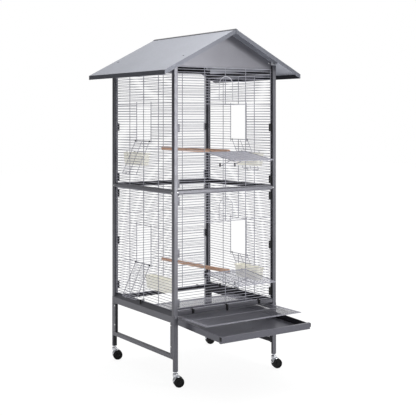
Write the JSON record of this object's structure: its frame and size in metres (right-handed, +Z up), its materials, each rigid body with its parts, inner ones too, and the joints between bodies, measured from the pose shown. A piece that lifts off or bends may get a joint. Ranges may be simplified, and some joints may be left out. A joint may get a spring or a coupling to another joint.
{
  "type": "bird cage",
  "caption": "Tall indoor bird cage on a wheeled stand with a gable roof, let-down front doors, feeder flaps, slide-out tray and grille.",
  "frame": {"origin": "centre of the footprint outline at floor level, which is under the cage but 110 mm in front of the middle of the posts because the tray is drawn out", "axes": "+Z up, -Y towards the front doors and tray, +X to the right as seen from the front"},
  "size_m": [0.72, 0.9, 1.5181],
  "materials": {
    "base_rail_back": "satin",
    "base_rail_front": "satin",
    "base_rail_left": "satin",
    "base_rail_right": "satin",
    "bowl_left_lower": "translucent",
    "bowl_left_upper": "translucent",
    "bowl_right_lower": "translucent",
    "bowl_right_upper": "translucent",
    "caster_back_left": "polished",
    "caster_back_right": "polished",
    "caster_front_left": "polished",
    "caster_front_right": "polished",
    "door_lower": "satin",
    "door_stay_lower": "satin",
    "door_stay_upper": "satin",
    "door_upper": "satin",
    "flap_left_lower": "satin",
    "flap_left_upper": "satin",
    "flap_right_lower": "satin",
    "flap_right_upper": "satin",
    "gable_back": "satin",
    "gable_front": "satin",
    "grille": "satin",
    "leg_back_left": "satin",
    "leg_back_right": "satin",
    "leg_front_left": "satin",
    "leg_front_right": "satin",
    "mid_rail_back": "satin",
    "mid_rail_front": "satin",
    "mid_rail_left": "satin",
    "mid_rail_right": "satin",
    "perch_lower": "matt",
    "perch_upper": "matt",
    "post_back_left": "satin",
    "post_back_right": "satin",
    "post_front_left": "satin",
    "post_front_right": "satin",
    "ridge_cap": "satin",
    "roof_left": "satin",
    "roof_right": "satin",
    "stand_frame_left": "satin",
    "stand_frame_right": "satin",
    "top_rail_left": "satin",
    "top_rail_right": "satin",
    "tray": "satin",
    "wall_back_lower": "satin",
    "wall_back_upper": "satin",
    "wall_front_lower": "satin",
    "wall_front_upper": "satin",
    "wall_left_lower": "satin",
    "wall_left_upper": "satin",
    "wall_right_lower": "satin",
    "wall_right_upper": "satin",
    "wheels_back_left": "satin",
    "wheels_back_right": "satin",
    "wheels_front_left": "satin",
    "wheels_front_right": "satin"
  },
  "bodies": {
    "cage": {"base_rail_back": "base_rail_back", "base_rail_front": "base_rail_front", "base_rail_left": "base_rail_left", "base_rail_right": "base_rail_right", "bowl_left_lower": "bowl_left_lower", "bowl_left_upper": "bowl_left_upper", "bowl_right_lower": "bowl_right_lower", "bowl_right_upper": "bowl_right_upper", "gable_back": "gable_back", "gable_front": "gable_front", "leg_back_left": "leg_back_left", "leg_back_right": "leg_back_right", "leg_front_left": "leg_front_left", "leg_front_right": "leg_front_right", "mid_rail_back": "mid_rail_back", "mid_rail_front": "mid_rail_front", "mid_rail_left": "mid_rail_left", "mid_rail_right": "mid_rail_right", "perch_lower": "perch_lower", "perch_upper": "perch_upper", "post_back_left": "post_back_left", "post_back_right": "post_back_right", "post_front_left": "post_front_left", "post_front_right": "post_front_right", "ridge_cap": "ridge_cap", "roof_left": "roof_left", "roof_right": "roof_right", "stand_frame_left": "stand_frame_left", "stand_frame_right": "stand_frame_right", "top_rail_left": "top_rail_left", "top_rail_right": "top_rail_right", "wall_back_lower": "wall_back_lower", "wall_back_upper": "wall_back_upper", "wall_front_lower": "wall_front_lower", "wall_front_upper": "wall_front_upper", "wall_left_lower": "wall_left_lower", "wall_left_upper": "wall_left_upper", "wall_right_lower": "wall_right_lower", "wall_right_upper": "wall_right_upper"},
    "caster_back_left": {"caster_back_left": "caster_back_left"},
    "caster_back_right": {"caster_back_right": "caster_back_right"},
    "caster_front_left": {"caster_front_left": "caster_front_left"},
    "caster_front_right": {"caster_front_right": "caster_front_right"},
    "door_lower": {"door_lower": "door_lower"},
    "door_stay_lower": {"door_stay_lower": "door_stay_lower"},
    "door_stay_upper": {"door_stay_upper": "door_stay_upper"},
    "door_upper": {"door_upper": "door_upper"},
    "flap_left_lower": {"flap_left_lower": "flap_left_lower"},
    "flap_left_upper": {"flap_left_upper": "flap_left_upper"},
    "flap_right_lower": {"flap_right_lower": "flap_right_lower"},
    "flap_right_upper": {"flap_right_upper": "flap_right_upper"},
    "grille": {"grille": "grille"},
    "tray": {"tray": "tray"},
    "wheels_back_left": {"wheels_back_left": "wheels_back_left"},
    "wheels_back_right": {"wheels_back_right": "wheels_back_right"},
    "wheels_front_left": {"wheels_front_left": "wheels_front_left"},
    "wheels_front_right": {"wheels_front_right": "wheels_front_right"}
  },
  "joints": [
    {"name": "caster_swivel_front_left", "type": "hinge", "parent": "cage", "child": "caster_front_left", "pos_m": [-0.263, -0.158, 0.06], "axis": [0, 0, 1], "continuous": true},
    {"name": "wheel_spin_front_left", "type": "hinge", "parent": "caster_front_left", "child": "wheels_front_left", "pos_m": [-0.24984, -0.16279, 0.02181], "axis": [0.342, 0.9397, 0], "continuous": true},
    {"name": "caster_swivel_back_left", "type": "hinge", "parent": "cage", "child": "caster_back_left", "pos_m": [-0.263, 0.378, 0.06], "axis": [0, 0, 1], "continuous": true},
    {"name": "wheel_spin_back_left", "type": "hinge", "parent": "caster_back_left", "child": "wheels_back_left", "pos_m": [-0.24984, 0.37321, 0.02181], "axis": [0.342, 0.9397, 0], "continuous": true},
    {"name": "caster_swivel_front_right", "type": "hinge", "parent": "cage", "child": "caster_front_right", "pos_m": [0.263, -0.158, 0.06], "axis": [0, 0, 1], "continuous": true},
    {"name": "wheel_spin_front_right", "type": "hinge", "parent": "caster_front_right", "child": "wheels_front_right", "pos_m": [0.27616, -0.16279, 0.02181], "axis": [0.342, 0.9397, 0], "continuous": true},
    {"name": "caster_swivel_back_right", "type": "hinge", "parent": "cage", "child": "caster_back_right", "pos_m": [0.263, 0.378, 0.06], "axis": [0, 0, 1], "continuous": true},
    {"name": "wheel_spin_back_right", "type": "hinge", "parent": "caster_back_right", "child": "wheels_back_right", "pos_m": [0.27616, 0.37321, 0.02181], "axis": [0.342, 0.9397, 0], "continuous": true},
    {"name": "tray_slide", "type": "slide", "parent": "cage", "child": "tray", "axis": [0, -1, 0], "range_m": [-0.284, 0.15]},
    {"name": "grille_slide", "type": "slide", "parent": "cage", "child": "grille", "axis": [0, -1, 0], "range_m": [-0.204, 0.15]},
    {"name": "door_hinge_upper", "type": "hinge", "parent": "cage", "child": "door_upper", "pos_m": [0, -0.1575, 0.9838], "axis": [-1, 0, 0], "range_deg": [0, 98]},
    {"name": "stay_pivot_upper", "type": "hinge", "parent": "cage", "child": "door_stay_upper", "pos_m": [0.0065, -0.1585, 0.9258], "axis": [1, 0, 0], "range_deg": [0, 100]},
    {"name": "door_hinge_lower", "type": "hinge", "parent": "cage", "child": "door_lower", "pos_m": [0, -0.1575, 0.4613], "axis": [-1, 0, 0], "range_deg": [0, 96]},
    {"name": "stay_pivot_lower", "type": "hinge", "parent": "cage", "child": "door_stay_lower", "pos_m": [0.0065, -0.1585, 0.4033], "axis": [1, 0, 0], "range_deg": [0, 85]},
    {"name": "flap_hinge_left_upper", "type": "hinge", "parent": "cage", "child": "flap_left_upper", "pos_m": [-0.2675, 0.11, 1.0298], "axis": [0, 1, 0], "range_deg": [0, 155]},
    {"name": "flap_hinge_right_upper", "type": "hinge", "parent": "cage", "child": "flap_right_upper", "pos_m": [0.2675, 0.11, 1.0298], "axis": [0, -1, 0], "range_deg": [0, 155]},
    {"name": "flap_hinge_left_lower", "type": "hinge", "parent": "cage", "child": "flap_left_lower", "pos_m": [-0.2675, 0.11, 0.4843], "axis": [0, 1, 0], "range_deg": [0, 155]},
    {"name": "flap_hinge_right_lower", "type": "hinge", "parent": "cage", "child": "flap_right_lower", "pos_m": [0.2675, 0.11, 0.4843], "axis": [0, -1, 0], "range_deg": [0, 155]}
  ]
}
